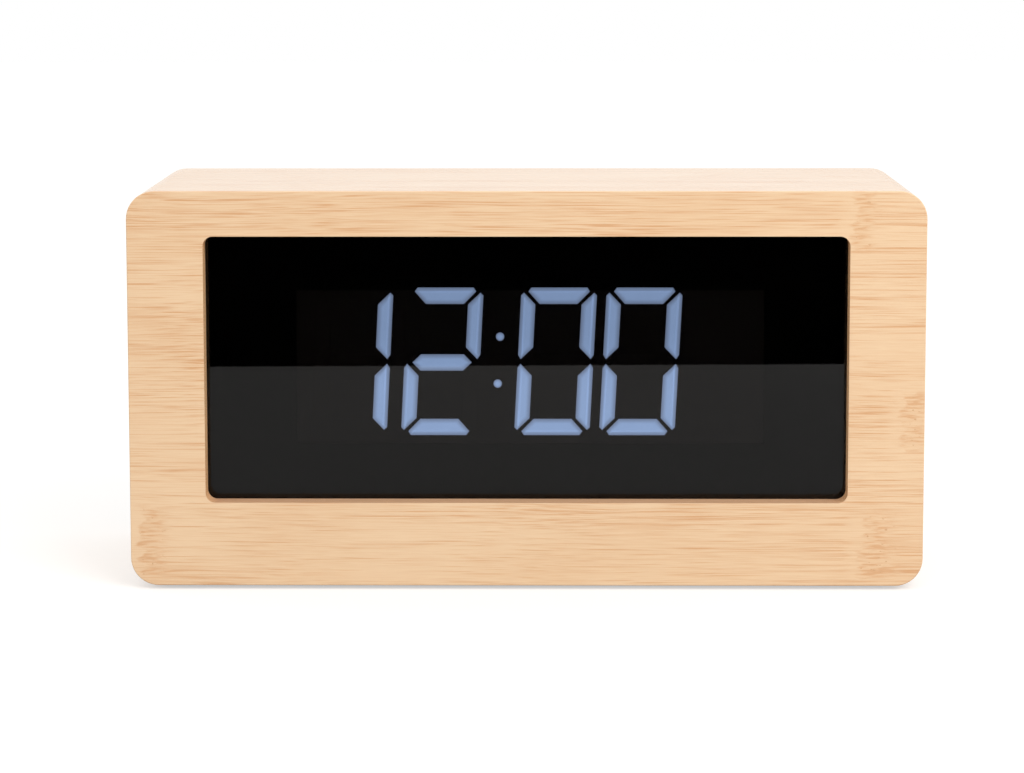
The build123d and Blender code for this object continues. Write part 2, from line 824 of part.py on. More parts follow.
for (x, z), use in zip(button_places, button_uses):
    with BuildPart() as button:
        with BuildSketch(upright(cover_outer_y + button_stand)):
            add(cut_corner_sketch([(x, z)], button_length, button_width, 0))
        extrude(amount=cover_outer_y + button_stand - flange_back_y)
        chamfer(button.faces().sort_by(Axis.Y)[-1].edges(), button_edge_bevel)
        with BuildSketch(upright(flange_back_y)):
            with Locations((x, z)):
                Rectangle(button_length + 2 * button_flange, button_width + 2 * button_flange)
        extrude(amount=button_flange_thickness)
        with BuildSketch(upright(flange_front_y)):
            with Locations((x, z)):
                Rectangle(button_post_size, button_post_size)
        extrude(amount=flange_front_y - plunger_back_y)
    pieces[use + "_button"] = button
    with BuildPart() as plunger:
        with BuildSketch(upright(plunger_back_y)):
            with Locations((x, z)):
                Rectangle(plunger_size, plunger_size)
        extrude(amount=plunger_back_y - plunger_front_y)
    pieces[use + "_plunger"] = plunger

with BuildPart() as switch_bodies:
    with BuildSketch(upright(switch_back_y)):
        with Locations(button_places):
            Rectangle(switch_size, switch_size)
    extrude(amount=switch_height)
    with BuildSketch(upright(switch_back_y)):
        with Locations(button_places):
            Rectangle(plunger_size + 2 * plunger_fit, plunger_size + 2 * plunger_fit)
    extrude(amount=plunger_bore, mode=Mode.SUBTRACT)
pieces["switch_bodies"] = switch_bodies

# Buzzer behind the sound slits
with BuildPart() as buzzer:
    with BuildSketch(upright(board_rear_y + buzzer_height)):
        with Locations(buzzer_place):
            Circle(buzzer_radius)
    extrude(amount=buzzer_height)
    with BuildSketch(upright(board_rear_y + buzzer_height)):
        with Locations(buzzer_place):
            Circle(buzzer_port_radius)
    extrude(amount=buzzer_port_depth, mode=Mode.SUBTRACT)
pieces["buzzer"] = buzzer

# Power socket: a drawn steel shell with a contact tongue inside
socket_face_y = cover_outer_y - socket_sink

with BuildPart() as power_socket:
    with BuildSketch(upright(socket_face_y)):
        with Locations(socket_place):
            SlotOverall(socket_width, socket_height)
    extrude(amount=socket_face_y - board_rear_y)
    with BuildSketch(upright(socket_face_y)):
        with Locations(socket_place):
            SlotOverall(socket_width - 2 * socket_wall, socket_height - 2 * socket_wall)
    extrude(amount=socket_depth, mode=Mode.SUBTRACT)
pieces["power_socket"] = power_socket

with BuildPart() as socket_tongue:
    with BuildSketch(upright(socket_face_y - socket_depth)):
        with Locations(socket_place):
            Rectangle(tongue_width, tongue_thickness)
    extrude(amount=-tongue_length)
pieces["socket_tongue"] = socket_tongue

# Components on the front of the main board
chip_place = (-component_pitch, controls_z)
crystal_place = (-2 * component_pitch, controls_z)
capacitor_place = (0, controls_z)

with BuildPart() as controller_chip:
    with BuildSketch(upright(board_front_y)):
        with Locations(chip_place):
            Rectangle(chip_length, chip_width)
    extrude(amount=chip_height)
    chamfer(controller_chip.faces().sort_by(Axis.Y)[0].edges(), chip_height / 6)
pieces["controller_chip"] = controller_chip

with BuildPart() as clock_crystal:
    with BuildSketch(upright(board_front_y)):
        with Locations(crystal_place):
            SlotOverall(crystal_length, crystal_width)
    extrude(amount=crystal_height)
pieces["clock_crystal"] = clock_crystal

with BuildPart() as capacitor:
    with BuildSketch(upright(board_front_y)):
        with Locations(capacitor_place):
            Circle(capacitor_radius)
    extrude(amount=capacitor_height)
pieces["capacitor"] = capacitor

# Connectors on the facing sides of the two boards, and the ribbon between them
with BuildPart() as display_connector:
    with BuildSketch(upright(display_board_back_y)):
        with Locations((connector_side_offset, display_z)):
            Rectangle(connector_length, connector_width)
    extrude(amount=-connector_height)
pieces["display_connector"] = display_connector

with BuildPart() as main_connector:
    with BuildSketch(upright(board_front_y)):
        with Locations((connector_side_offset, controls_z)):
            Rectangle(connector_length, connector_width)
    extrude(amount=connector_height)
pieces["main_connector"] = main_connector

ribbon_start_y = display_board_back_y + connector_height
ribbon_end_y = board_front_y - connector_height
ribbon_mid_y = (ribbon_start_y + ribbon_end_y) / 2

with BuildPart() as ribbon_cable:
    with BuildSketch(Plane.YZ.offset(connector_side_offset - ribbon_width / 2)):
        with BuildLine():
            FilletPolyline(
                (ribbon_start_y, display_z),
                (ribbon_mid_y, display_z),
                (ribbon_mid_y, controls_z),
                (ribbon_end_y, controls_z),
                radius=ribbon_bend_radius,
            )
        trace(line_width=ribbon_thickness)
    extrude(amount=ribbon_width)
pieces["ribbon_cable"] = ribbon_cable

# Every piece is named and written to a file of its own
os.makedirs("parts", exist_ok=True)
for name, piece in pieces.items():
    piece.part.label = name
    export_step(piece.part, f"parts/{name}.step")
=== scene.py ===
"""Wooden desk clock: bamboo case, smoked lens, lit digits and a moulded rear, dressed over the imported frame.

Metres. +X is to the viewer's right, +Y to the rear and +Z up, with the feet on z = 0.
"""

import math

import bmesh
import bpy
from mathutils import Matrix, Vector


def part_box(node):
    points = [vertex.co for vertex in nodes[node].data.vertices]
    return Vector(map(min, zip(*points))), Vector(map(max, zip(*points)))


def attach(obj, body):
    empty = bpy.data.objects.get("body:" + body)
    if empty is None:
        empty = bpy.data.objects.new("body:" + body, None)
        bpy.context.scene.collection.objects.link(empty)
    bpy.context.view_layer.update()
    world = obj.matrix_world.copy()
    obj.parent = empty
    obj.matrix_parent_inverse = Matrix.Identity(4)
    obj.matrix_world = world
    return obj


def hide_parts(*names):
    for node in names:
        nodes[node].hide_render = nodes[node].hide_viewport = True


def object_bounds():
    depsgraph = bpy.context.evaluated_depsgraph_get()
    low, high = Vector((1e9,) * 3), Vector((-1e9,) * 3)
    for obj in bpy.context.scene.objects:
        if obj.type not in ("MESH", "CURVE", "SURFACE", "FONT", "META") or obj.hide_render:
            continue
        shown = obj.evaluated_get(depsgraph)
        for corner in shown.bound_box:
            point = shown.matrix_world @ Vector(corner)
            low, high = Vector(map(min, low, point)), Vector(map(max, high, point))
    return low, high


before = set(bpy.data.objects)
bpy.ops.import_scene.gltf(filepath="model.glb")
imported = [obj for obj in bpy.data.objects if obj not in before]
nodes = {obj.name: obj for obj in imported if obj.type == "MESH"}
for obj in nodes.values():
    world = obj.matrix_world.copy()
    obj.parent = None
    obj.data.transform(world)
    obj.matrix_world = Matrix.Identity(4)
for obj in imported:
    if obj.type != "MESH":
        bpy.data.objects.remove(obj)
cad_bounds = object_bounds()

MM = 0.001

# Joins between the CAD mesh's triangles, before edges are worked on
WELD = 0.001 * MM
FLAT = math.radians(1)
SHARP = math.radians(40)

# Window in the front panel, from the lens that laps behind it
LENS_OVERLAP = 3.5 * MM
EDGE_MARGIN = 0.2 * MM
lens_low, lens_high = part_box("lens")
window_half_width = (lens_high.x - lens_low.x) / 2 - LENS_OVERLAP
window_half_height = (lens_high.z - lens_low.z) / 2 - LENS_OVERLAP
window_mid_z = (lens_high.z + lens_low.z) / 2
panel_back_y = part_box("front_panel")[1].y

# Display, from the block with its light wells
display_low, display_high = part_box("segment_reflector")
display_mid_z = (display_high.z + display_low.z) / 2
display_top_z = display_high.z

# A mix node's sockets for its share and its two inputs, by what it mixes
COLOUR_SOCKETS = (0, 6, 7)
NUMBER_SOCKETS = (0, 2, 3)

# Kinds of socket on a node group
COLOUR = "NodeSocketColor"
VALUE = "NodeSocketFloat"
VECTOR = "NodeSocketVector"


class Tree:
    """Adds nodes to a node tree and joins them; a value may be a socket, a number or a colour."""

    def __init__(self, tree):
        self.tree = tree

    def feed(self, socket, value):
        if isinstance(value, bpy.types.NodeSocket):
            self.tree.links.new(value, socket)
        elif socket.type == "RGBA" and len(value) == 3:
            socket.default_value = (*value, 1.0)
        else:
            socket.default_value = value

    def node(self, kind, settings=None, **inputs):
        made = self.tree.nodes.new(kind)
        for key, value in (settings or {}).items():
            setattr(made, key, value)
        for key, value in inputs.items():
            self.feed(made.inputs[key], value)
        return made

    def maths(self, operation, *values):
        made = self.node("ShaderNodeMath", {"operation": operation})
        for socket, value in zip(made.inputs, values):
            self.feed(socket, value)
        return made.outputs[0]

    def vector_maths(self, operation, *values):
        made = self.node("ShaderNodeVectorMath", {"operation": operation})
        for socket, value in zip(made.inputs, values):
            self.feed(socket, value)
        return made

    def step(self, value, low, high):
        """0 up to low, 1 from high on, and smooth between."""
        made = self.node("ShaderNodeMapRange", {"interpolation_type": "SMOOTHSTEP"}, Value=value)
        self.feed(made.inputs["From Min"], low)
        self.feed(made.inputs["From Max"], high)
        return made.outputs["Result"]

    def mix(self, share, first, second):
        made = self.node("ShaderNodeMix", {"data_type": "RGBA"})
        for index, value in zip(COLOUR_SOCKETS, (share, first, second)):
            self.feed(made.inputs[index], value)
        return made.outputs[2]

    def blend(self, share, first, second):
        """Number that goes from first to second with the share."""
        made = self.node("ShaderNodeMix", {"data_type": "FLOAT"})
        for index, value in zip(NUMBER_SOCKETS, (share, first, second)):
            self.feed(made.inputs[index], value)
        return made.outputs[0]

    def noise(self, place, scales, detail=1.0):
        """Noise with so many features to the metre along each axis."""
        stretched = self.vector_maths("MULTIPLY", place, scales).outputs[0]
        return self.node("ShaderNodeTexNoise", Vector=stretched, Scale=1.0, Detail=detail).outputs[0]

    def split(self, place):
        return self.node("ShaderNodeSeparateXYZ", Vector=place).outputs[:3]

    def join(self, x, y, z):
        return self.node("ShaderNodeCombineXYZ", X=x, Y=y, Z=z).outputs[0]

    def place(self):
        return self.node("ShaderNodeTexCoord").outputs["Object"]

    def bump(self, height, distance):
        return self.node("ShaderNodeBump", Height=height, Distance=distance).outputs["Normal"]

    def use(self, group, **inputs):
        made = self.node("ShaderNodeGroup", {"node_tree": group}, **inputs)
        return made.outputs


def new_group(name, inputs, outputs):
    """A node group: its tree, the sockets that come in and the sockets that go out."""
    made = bpy.data.node_groups.new(name, "ShaderNodeTree")
    for socket, kind in inputs.items():
        made.interface.new_socket(socket, in_out="INPUT", socket_type=kind)
    for socket, kind in outputs.items():
        made.interface.new_socket(socket, in_out="OUTPUT", socket_type=kind)
    tree = Tree(made)
    return tree, tree.node("NodeGroupInput").outputs, tree.node("NodeGroupOutput").inputs


def new_material(name, **constants):
    """A material with its shader; the constants are set on the shader's own sockets."""
    made = bpy.data.materials.new(name)
    made.use_nodes = True
    shader = made.node_tree.nodes["Principled BSDF"]
    tree = Tree(made.node_tree)
    for key, value in constants.items():
        tree.feed(shader.inputs[key.replace("_", " ")], value)
    return made, tree, shader.inputs


# Noise lies about this value
NOISE_MIDDLE = 0.5

# Bamboo: a cream ground with orange streaks along X, in strips that meet at level seams
BAMBOO_PALE = (0.930, 0.690, 0.445)
BAMBOO_GROUND = (0.872, 0.613, 0.383)
BAMBOO_WARM = (0.815, 0.532, 0.310)
BAMBOO_STREAK = (0.715, 0.390, 0.190)
BAMBOO_SPECK = (0.690, 0.400, 0.210)
BAMBOO_SHEEN = 0.33
BAMBOO_SHEEN_ROUGHNESS = 0.3
GROUND_ROUGHNESS = 0.25
STREAK_ROUGHNESS = 0.32
STREAK_RELIEF = -0.008 * MM
STRIP_SEAMS = (21 * MM, 53.5 * MM, 87 * MM)
# How far along the grain each strip's pattern starts from that of the strip below
STRIP_OFFSET = 0.83

# Bamboo's noise: features to the metre along and across the grain
SWAY_SCALE = (9, 16, 16)
COARSE_STREAK_SCALE = (30, 3300, 3300)
FINE_STREAK_SCALE = (80, 6000, 6000)
BAND_SCALE = (7, 150, 150)
LINE_SCALE = (16, 2300, 2300)
SHORT_STREAK_SCALE = (230, 1900, 1900)
FIBRE_SCALE = (150, 4000, 4000)
PATCH_SCALE = (25, 50, 50)
SPECK_SCALE = (800, 1500, 1500)
RAGGED_SCALE = (90, 480, 480)

# Bamboo's noise: where it starts to show and where it shows in full
STREAK_RANGE = (0.48, 0.66)
LINE_RANGE = (0.66, 0.78)
SHORT_STREAK_RANGE = (0.42, 0.66)
FIBRE_RANGE = (0.3, 0.7)
PATCH_RANGE = (0.35, 0.70)
SPECK_RANGE = (0.68, 0.74)

# Bamboo's noise: how much of each goes into the whole
SWAY = 3.5 * MM
FINE_STREAK_SHARE = 0.50
BAND_SHARE = 0.20
SHORT_STREAK_SHARE = 0.75
PALE_STREAK_SHARE = 0.35
FIBRE_SHARE = 0.35
PATCH_SHARE = 0.55
KNUCKLE_SHARE = 0.65
# Moves the thin lines to another part of the noise than the streaks
LINES_APART = (0.7, 0.3, 0.5)

# Knuckles, where the streaks break up: edge along X, middle across, half height and length
KNUCKLES = (
    (80.8 * MM, 94.0 * MM, 9.0 * MM, 7.0 * MM),
    (83.5 * MM, 11.0 * MM, 9.5 * MM, 12.0 * MM),
    (93.5 * MM, 43.0 * MM, 9.0 * MM, 9.0 * MM),
    (-98.0 * MM, 12.0 * MM, 10.0 * MM, 9.0 * MM),
)
KNUCKLE_RAGGED = 9 * MM
KNUCKLE_START = 1.5 * MM
# Shares of the half height and the length over which a knuckle shows in full
KNUCKLE_FULL_HEIGHT = 0.7
KNUCKLE_FULL_LENGTH = 0.4
# Paler wood just before a knuckle: where it starts and where it is palest
PALE_REACH = 4 * MM
PALE_FULL = 1 * MM

# Cut faces of the window: their tones, which differ by face direction as painted shading, how far streaks show
# in them and their gloss
LEDGE_PAINTED_SHADING_TONE = (0.905, 0.545, 0.322)
JAMB_PAINTED_SHADING_TONE = (1.000, 0.600, 0.305)
CUT_STREAKS = 0.3
CUT_GLOSS = 0.1


def make_knuckle_masks(tree, place):
    """Masks of the knuckles on the front panel, and of the paler wood just before them."""
    x, y, z = tree.split(place)
    ragged = tree.maths("SUBTRACT", tree.noise(place, RAGGED_SCALE, detail=2), NOISE_MIDDLE)
    ragged_x = tree.maths("MULTIPLY_ADD", ragged, KNUCKLE_RAGGED, x)
    panel = tree.maths("LESS_THAN", y, panel_back_y)
    knuckle, pale = 0.0, 0.0
    for edge, across, reach, length in KNUCKLES:
        past = tree.maths("SUBTRACT", ragged_x, edge)
        aside = tree.maths("ABSOLUTE", tree.maths("SUBTRACT", z, across))
        above = tree.step(aside, reach * KNUCKLE_FULL_HEIGHT, reach)
        level = tree.maths("MULTIPLY", panel, tree.maths("SUBTRACT", 1.0, above))
        begun = tree.step(past, 0.0, KNUCKLE_START)
        left = tree.maths("SUBTRACT", 1.0, tree.step(past, length * KNUCKLE_FULL_LENGTH, length))
        near = tree.maths("SUBTRACT", tree.step(past, -PALE_REACH, -PALE_FULL), begun)
        inside = tree.maths("MULTIPLY", begun, left)
        knuckle = tree.maths("MAXIMUM", knuckle, tree.maths("MULTIPLY", inside, level))
        pale = tree.maths("MAXIMUM", pale, tree.maths("MULTIPLY", near, level))
    return knuckle, pale


def make_bamboo_group():
    """Bamboo, by a place whose x runs along the grain: its colour, height and roughness."""
    tree, given, result = new_group(
        "bamboo_grain", {"Place": VECTOR}, {"Color": COLOUR, "Height": VALUE, "Roughness": VALUE}
    )
    x, y, z = tree.split(given["Place"])
    strip = 0.0
    for seam in STRIP_SEAMS:
        strip = tree.maths("ADD", strip, tree.maths("GREATER_THAN", z, seam))
    sway = tree.maths("SUBTRACT", tree.noise(given["Place"], SWAY_SCALE), NOISE_MIDDLE)
    sway = tree.maths("MULTIPLY", sway, SWAY)
    along = tree.maths("MULTIPLY_ADD", strip, STRIP_OFFSET, x)
    place = tree.join(along, tree.maths("ADD", y, sway), tree.maths("ADD", z, sway))

    streaks = tree.noise(place, COARSE_STREAK_SCALE)
    streaks = tree.blend(FINE_STREAK_SHARE, streaks, tree.noise(place, FINE_STREAK_SCALE))
    streaks = tree.blend(BAND_SHARE, streaks, tree.noise(place, BAND_SCALE))
    apart = tree.vector_maths("ADD", place, LINES_APART).outputs[0]
    lines = tree.step(tree.noise(apart, LINE_SCALE), *LINE_RANGE)
    dash = tree.maths("MAXIMUM", tree.step(streaks, *STREAK_RANGE), lines)
    short_dash = tree.step(tree.noise(place, SHORT_STREAK_SCALE), *SHORT_STREAK_RANGE)
    knuckle, pale = make_knuckle_masks(tree, given["Place"])
    dash = tree.blend(knuckle, dash, tree.maths("MULTIPLY", short_dash, SHORT_STREAK_SHARE))
    dash = tree.maths("MULTIPLY", dash, tree.blend(pale, 1.0, PALE_STREAK_SHARE))

    patches = tree.step(tree.noise(place, PATCH_SCALE, detail=2), *PATCH_RANGE)
    patches = tree.maths("MULTIPLY", patches, PATCH_SHARE)
    warm = tree.maths("MAXIMUM", patches, tree.maths("MULTIPLY", knuckle, KNUCKLE_SHARE))
    ground = tree.mix(warm, BAMBOO_GROUND, BAMBOO_WARM)
    fibre = tree.step(tree.noise(place, FIBRE_SCALE), *FIBRE_RANGE)
    ground = tree.mix(tree.maths("MULTIPLY", fibre, FIBRE_SHARE), ground, BAMBOO_PALE)
    colour = tree.mix(dash, ground, BAMBOO_STREAK)
    specks = tree.step(tree.noise(given["Place"], SPECK_SCALE), *SPECK_RANGE)
    colour = tree.mix(tree.maths("MULTIPLY", specks, knuckle), colour, BAMBOO_SPECK)
    tree.feed(result["Color"], colour)
    tree.feed(result["Height"], dash)
    tree.feed(result["Roughness"], tree.blend(dash, GROUND_ROUGHNESS, STREAK_ROUGHNESS))
    return tree.tree


# Wear: how far a rounded normal turns from the flat one at an edge, and the noise that breaks it up
WEAR_SAMPLES = 4
WEAR_TURN_RANGE = (0.01, 0.2)
WEAR_BREAK_SCALE = (700, 700, 700)
WEAR_BREAK_RANGE = (0.35, 0.65)


def make_edge_group():
    """Wear along edges: 1 on the edge itself and 0 a width away, broken up a little."""
    tree, given, result = new_group("edge_wear", {"Width": VALUE}, {"Mask": VALUE})
    rounded = tree.node("ShaderNodeBevel", {"samples": WEAR_SAMPLES}, Radius=given["Width"]).outputs[0]
    flat = tree.node("ShaderNodeNewGeometry").outputs["Normal"]
    turned = tree.vector_maths("DOT_PRODUCT", rounded, flat).outputs["Value"]
    edge = tree.step(tree.maths("SUBTRACT", 1.0, turned), *WEAR_TURN_RANGE)
    broken = tree.step(tree.noise(tree.place(), WEAR_BREAK_SCALE, detail=2), *WEAR_BREAK_RANGE)
    tree.feed(result["Mask"], tree.maths("MULTIPLY", edge, broken))
    return tree.tree


DUST_TONE = (0.35, 0.32, 0.29)
DUST_SCALE = (160, 160, 160)
DUST_RANGE = (0.35, 0.75)
DUST_UPWARD_RANGE = (0.5, 1.0)


def make_dust_group():
    """Dust that settles on what faces up at rest, in soft patches."""
    tree, _, result = new_group("settled_dust", {}, {"Mask": VALUE})
    upward = tree.split(tree.node("ShaderNodeTexCoord").outputs["Normal"])[2]
    patches = tree.step(tree.noise(tree.place(), DUST_SCALE, detail=3), *DUST_RANGE)
    tree.feed(result["Mask"], tree.maths("MULTIPLY", tree.step(upward, *DUST_UPWARD_RANGE), patches))
    return tree.tree


GRAIN_DETAIL = 2.0
GRAIN_RANGE = (0.3, 0.7)
BROAD_GRAIN_SCALE = (45, 45, 45)
BROAD_GRAIN_SHARE = 0.5


def make_grain_group():
    """Fine even texture of a moulded or cast surface: a tone and a height."""
    tree, given, result = new_group("moulded_grain", {"Scale": VALUE}, {"Tone": VALUE, "Height": VALUE})
    scaled = tree.vector_maths("SCALE", tree.place())
    tree.feed(scaled.inputs["Scale"], given["Scale"])
    fine = tree.node("ShaderNodeTexNoise", Vector=scaled.outputs[0], Scale=1.0, Detail=GRAIN_DETAIL)
    fine = fine.outputs[0]
    broad = tree.noise(tree.place(), BROAD_GRAIN_SCALE, detail=2)
    tone = tree.blend(BROAD_GRAIN_SHARE, tree.step(fine, *GRAIN_RANGE), tree.step(broad, *GRAIN_RANGE))
    tree.feed(result["Tone"], tone)
    tree.feed(result["Height"], fine)
    return tree.tree


bamboo_group = make_bamboo_group()
edge_group = make_edge_group()
dust_group = make_dust_group()
grain_group = make_grain_group()


def make_bamboo(name, upright=False):
    """Bamboo with its grain along X or, on an upright board, along Z."""
    made, tree, shader = new_material(
        name, Sheen_Weight=BAMBOO_SHEEN, Sheen_Roughness=BAMBOO_SHEEN_ROUGHNESS
    )
    place = tree.place()
    x, y, z = tree.split(place)
    wood = tree.use(bamboo_group, Place=tree.join(z, y, x) if upright else place)
    tree.feed(shader["Base Color"], wood["Color"])
    tree.feed(shader["Roughness"], wood["Roughness"])
    tree.feed(shader["Normal"], tree.bump(wood["Height"], STREAK_RELIEF))
    return made


def make_bamboo_cut():
    """Bamboo where the window is cut, duller than the faces: one tone on ledges, another on jambs, a
    difference of painted shading by face direction.
    """
    made, tree, shader = new_material("bamboo_cut", Specular_IOR_Level=CUT_GLOSS)
    wood = tree.use(bamboo_group, Place=tree.place())
    painted_shading_facing = tree.split(tree.node("ShaderNodeTexCoord").outputs["Normal"])[0]
    # Ledges and jambs take different tones by which way they face: this is painted shading, not a difference
    # in the wood.
    tone = tree.mix(tree.maths("ABSOLUTE", painted_shading_facing), LEDGE_PAINTED_SHADING_TONE, JAMB_PAINTED_SHADING_TONE)
    streaks = tree.maths("MULTIPLY", wood["Height"], CUT_STREAKS)
    tree.feed(shader["Base Color"], tree.mix(streaks, tone, BAMBOO_STREAK))
    tree.feed(shader["Roughness"], wood["Roughness"])
    tree.feed(shader["Normal"], tree.bump(wood["Height"], STREAK_RELIEF))
    return made


# Moulded stuff, where a finish doesn't say otherwise
MOULDED_GRAIN = 3000.0
MOULDED_RELIEF = 0.03 * MM
MOULDED_WEAR = 1.6
MOULDED_WEAR_WIDTH = 0.35 * MM
MOULDED_WEAR_SHARE = 0.5
MOULDED_DUST = 0.12
MOULDED_SPREAD = 0.06


def make_moulded(
    name, dark, light, roughness, relief=MOULDED_RELIEF, worn=MOULDED_WEAR, dusty=MOULDED_DUST, **constants
):
    """Moulded or cast stuff: two near tones, fine relief, paler edges and a little dust."""
    made, tree, shader = new_material(name, **constants)
    surface = tree.use(grain_group, Scale=MOULDED_GRAIN)
    edge = tree.use(edge_group, Width=MOULDED_WEAR_WIDTH)["Mask"]
    edge = tree.maths("MULTIPLY", edge, MOULDED_WEAR_SHARE)
    dust = tree.maths("MULTIPLY", tree.use(dust_group)["Mask"], dusty)
    colour = tree.mix(surface["Tone"], dark, light)
    colour = tree.mix(edge, colour, [min(1.0, c * worn) for c in light])
    tree.feed(shader["Base Color"], tree.mix(dust, colour, DUST_TONE))
    smooth, rough = roughness - MOULDED_SPREAD, roughness + MOULDED_SPREAD
    tree.feed(shader["Roughness"], tree.blend(surface["Tone"], smooth, rough))
    tree.feed(shader["Normal"], tree.bump(surface["Height"], relief))
    return made


# Brushed metal: its lines, and how much brighter its edges are
BRUSH_SCALE = (300, 5000, 5000)
BRUSH_RANGE = (0.3, 0.7)
BRUSH_RELIEF = 0.01 * MM
BRUSH_SMOOTHER = 0.08
BRUSH_ROUGHER = 0.12
METAL_WEAR = 1.2
METAL_WEAR_WIDTH = 0.2 * MM


def make_brushed(name, dark, light, roughness):
    """Drawn or brushed metal: fine lines along X and brighter edges."""
    made, tree, shader = new_material(name, Metallic=1.0)
    lines = tree.noise(tree.place(), BRUSH_SCALE, detail=2)
    edge = tree.use(edge_group, Width=METAL_WEAR_WIDTH)["Mask"]
    colour = tree.mix(tree.step(lines, *BRUSH_RANGE), dark, light)
    tree.feed(shader["Base Color"], tree.mix(edge, colour, [min(1.0, c * METAL_WEAR) for c in light]))
    smooth, rough = roughness - BRUSH_SMOOTHER, roughness + BRUSH_ROUGHER
    tree.feed(shader["Roughness"], tree.blend(lines, smooth, rough))
    tree.feed(shader["Normal"], tree.bump(lines, BRUSH_RELIEF))
    return made


LENS_TINT = (0.12, 0.12, 0.12)
LENS_IOR = 1.36
SMEAR_SCALE = (70, 70, 120)
SMEAR_RANGE = (0.5, 0.8)
SMEAR_ROUGHNESS = 0.004


def make_lens():
    """Smoked acrylic, polished, with the faintest smears."""
    made, tree, shader = new_material(
        "smoked_acrylic", Base_Color=LENS_TINT, Transmission_Weight=1.0, IOR=LENS_IOR
    )
    smears = tree.step(tree.noise(tree.place(), SMEAR_SCALE, detail=3), *SMEAR_RANGE)
    tree.feed(shader["Roughness"], tree.blend(smears, 0.0, SMEAR_ROUGHNESS))
    return made


# Glow of the lit segments, which is weaker in the upper half of the display
BLACK = (0.0, 0.0, 0.0)
GLOW_CENTRE = (0.252, 0.362, 0.592)
GLOW_BORDER = (0.140, 0.182, 0.280)
GLOW_STRENGTH = 8.6
GLOW_UPPER_SHARE = 0.79
GLOW_FADE = 8 * MM
CLOUD_SCALE = (220, 220, 220)
CLOUD_SHARE = 0.12
RESIN_DARK = (0.10, 0.11, 0.13)
RESIN_LIGHT = (0.14, 0.15, 0.17)
RESIN_ROUGHNESS = 0.4


def make_glow():
    """Milky light guide, lit from behind: brightest along the middle of a segment and in the lower half."""
    made, tree, shader = new_material(
        "lit_resin", Roughness=RESIN_ROUGHNESS, Emission_Strength=GLOW_STRENGTH
    )
    middle = tree.node("ShaderNodeAttribute", {"attribute_name": "glow"}).outputs["Fac"]
    cloud = tree.noise(tree.place(), CLOUD_SCALE, detail=2)
    colour = tree.mix(middle, GLOW_BORDER, GLOW_CENTRE)
    colour = tree.mix(tree.maths("MULTIPLY", cloud, CLOUD_SHARE), colour, GLOW_BORDER)
    height = tree.split(tree.place())[2]
    upper = tree.step(height, display_mid_z - GLOW_FADE, display_mid_z + GLOW_FADE)
    dimmed = tree.maths("MULTIPLY", upper, 1.0 - GLOW_UPPER_SHARE)
    tree.feed(shader["Base Color"], tree.mix(cloud, RESIN_DARK, RESIN_LIGHT))
    tree.feed(shader["Emission Color"], tree.mix(dimmed, colour, BLACK))
    return made


# Painted display: its tones, the black border along its top and its dull gloss
DISPLAY_TONE = (0.190, 0.150, 0.138)
DISPLAY_DARKER = 0.9
DISPLAY_DARK = (0.012, 0.012, 0.012)
DISPLAY_BORDER = 2.8 * MM
DISPLAY_BORDER_FADE = 0.2 * MM
DISPLAY_GRAIN = 2500.0
DISPLAY_GLOSS = 0.15
DISPLAY_ROUGHNESS = (0.6, 0.7)


def make_display_face(name):
    """Painted face of the display: dark grey, and black along its top edge."""
    made, tree, shader = new_material(name, Specular_IOR_Level=DISPLAY_GLOSS)
    height = tree.split(tree.place())[2]
    surface = tree.use(grain_group, Scale=DISPLAY_GRAIN)
    border_z = display_top_z - DISPLAY_BORDER
    edge = tree.step(height, border_z, border_z + DISPLAY_BORDER_FADE)
    tone = tree.mix(surface["Tone"], [c * DISPLAY_DARKER for c in DISPLAY_TONE], DISPLAY_TONE)
    tree.feed(shader["Base Color"], tree.mix(edge, tone, DISPLAY_DARK))
    tree.feed(shader["Roughness"], tree.blend(surface["Tone"], *DISPLAY_ROUGHNESS))
    return made


# Circuit boards: solder mask in two tones, with paler tracks between
TRACK_PATTERN = {"offset": 0.37, "squash": 0.6}
TRACK_SCALE = 220.0
TRACK_WIDTH = 0.08
TRACK_RELIEF = 0.03 * MM
TRACK_TONE = (0.030, 0.170, 0.075)
MASK_TONE = (0.012, 0.095, 0.040)
MASK_TONE_DARKER = (0.010, 0.080, 0.034)
BOARD_ROUGHNESS = (0.32, 0.25)
BOARD_DUST = 0.1
BOARD_DUST_TONE = (0.3, 0.3, 0.3)


def make_circuit_board():
    """Green solder mask over a pattern of tracks."""
    made, tree, shader = new_material("solder_mask")
    x, y, z = tree.split(tree.place())
    tracks = tree.node("ShaderNodeTexBrick", TRACK_PATTERN, Vector=tree.join(x, z, y), Scale=TRACK_SCALE)
    tree.feed(tracks.inputs["Mortar Size"], TRACK_WIDTH)
    tree.feed(tracks.inputs["Color1"], MASK_TONE)
    tree.feed(tracks.inputs["Color2"], MASK_TONE_DARKER)
    tree.feed(tracks.inputs["Mortar"], TRACK_TONE)
    dust = tree.maths("MULTIPLY", tree.use(dust_group)["Mask"], BOARD_DUST)
    tree.feed(shader["Base Color"], tree.mix(dust, tracks.outputs["Color"], BOARD_DUST_TONE))
    tree.feed(shader["Roughness"], tree.blend(tracks.outputs["Fac"], *BOARD_ROUGHNESS))
    tree.feed(shader["Normal"], tree.bump(tracks.outputs["Fac"], TRACK_RELIEF))
    return made


